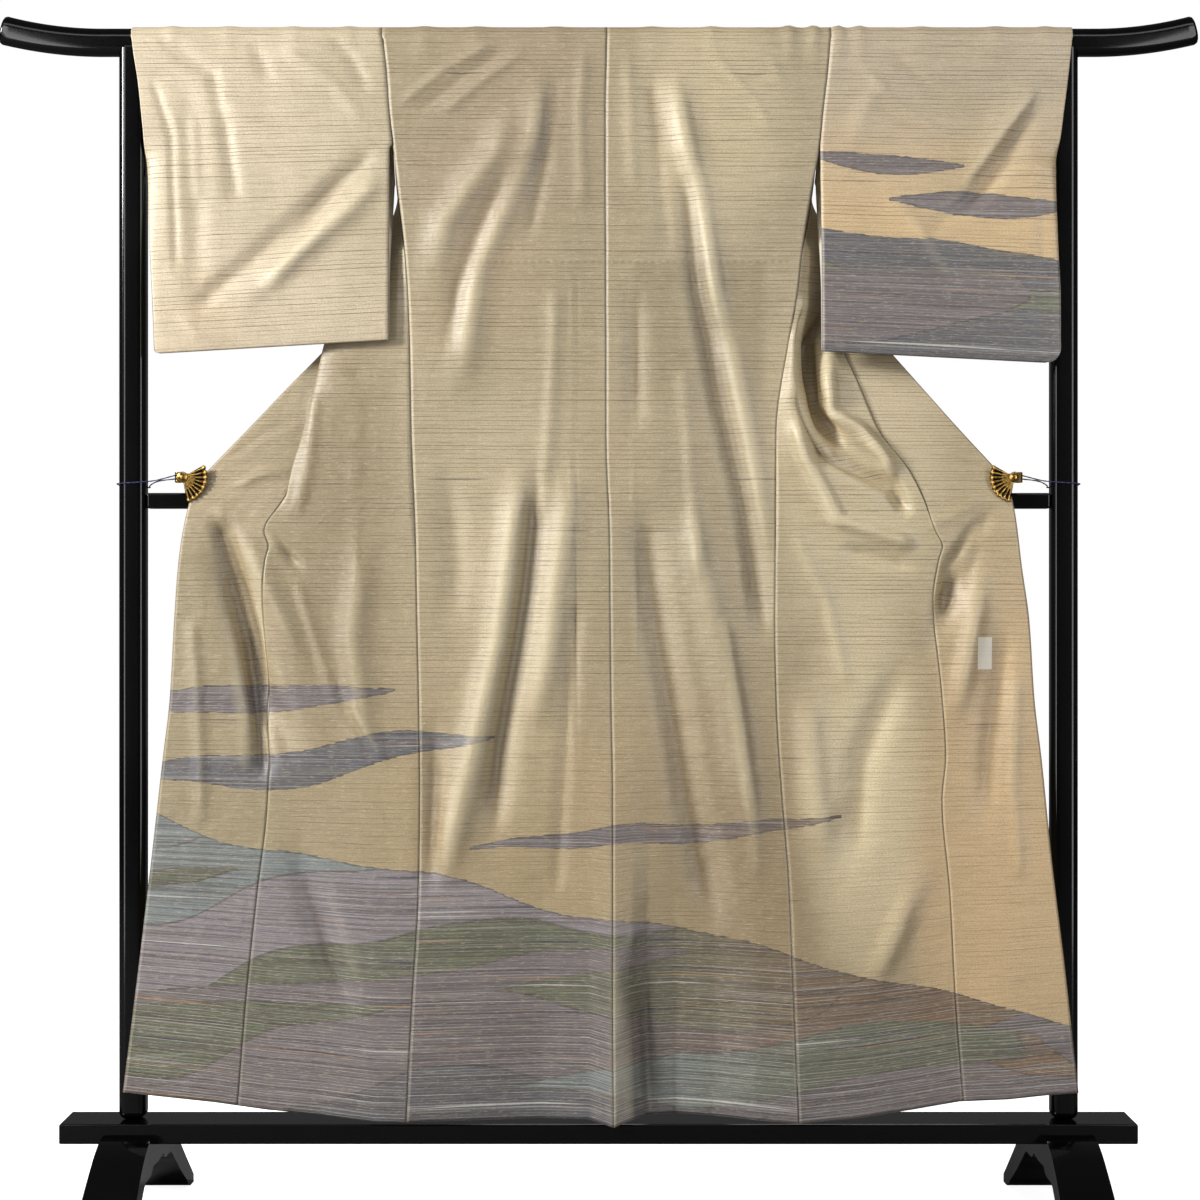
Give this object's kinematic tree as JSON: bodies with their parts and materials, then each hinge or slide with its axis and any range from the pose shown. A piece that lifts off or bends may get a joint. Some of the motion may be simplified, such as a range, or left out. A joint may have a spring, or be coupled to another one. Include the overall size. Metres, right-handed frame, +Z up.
{
  "type": "silk kimono on a kimono stand",
  "caption": "Lined silk kimono spread by its sleeves over the bar of a lacquered kimono stand, back to the viewer, its collar tips drawn out by fan clips.",
  "frame": {"origin": "on the floor, midway between the two feet and under the bar", "axes": "+Z up; +Y away from the viewer who sees the kimono's back; +X along the bar to that viewer's right"},
  "size_m": [1.6938, 0.48, 1.71],
  "materials": {
    "silk": "slubbed pongee silk, low sheen",
    "lacquer": "black gloss lacquer",
    "brass": "gilt, polished",
    "cord": "twisted silk cord"
  },
  "bodies": {
    "root": {"body_left": "silk", "body_right": "silk", "okumi_left": "silk", "okumi_right": "silk", "sleeve_left": "silk", "sleeve_right": "silk", "collar": "silk", "over_collar": "silk", "top_bar": "lacquer", "mid_bar": "lacquer", "post_left": "lacquer", "post_right": "lacquer", "base_beam": "lacquer", "foot_left": "lacquer", "foot_right": "lacquer", "clip_left": "brass", "clip_right": "brass", "cord_left": "cord", "cord_right": "cord"}
  },
  "joints": []
}
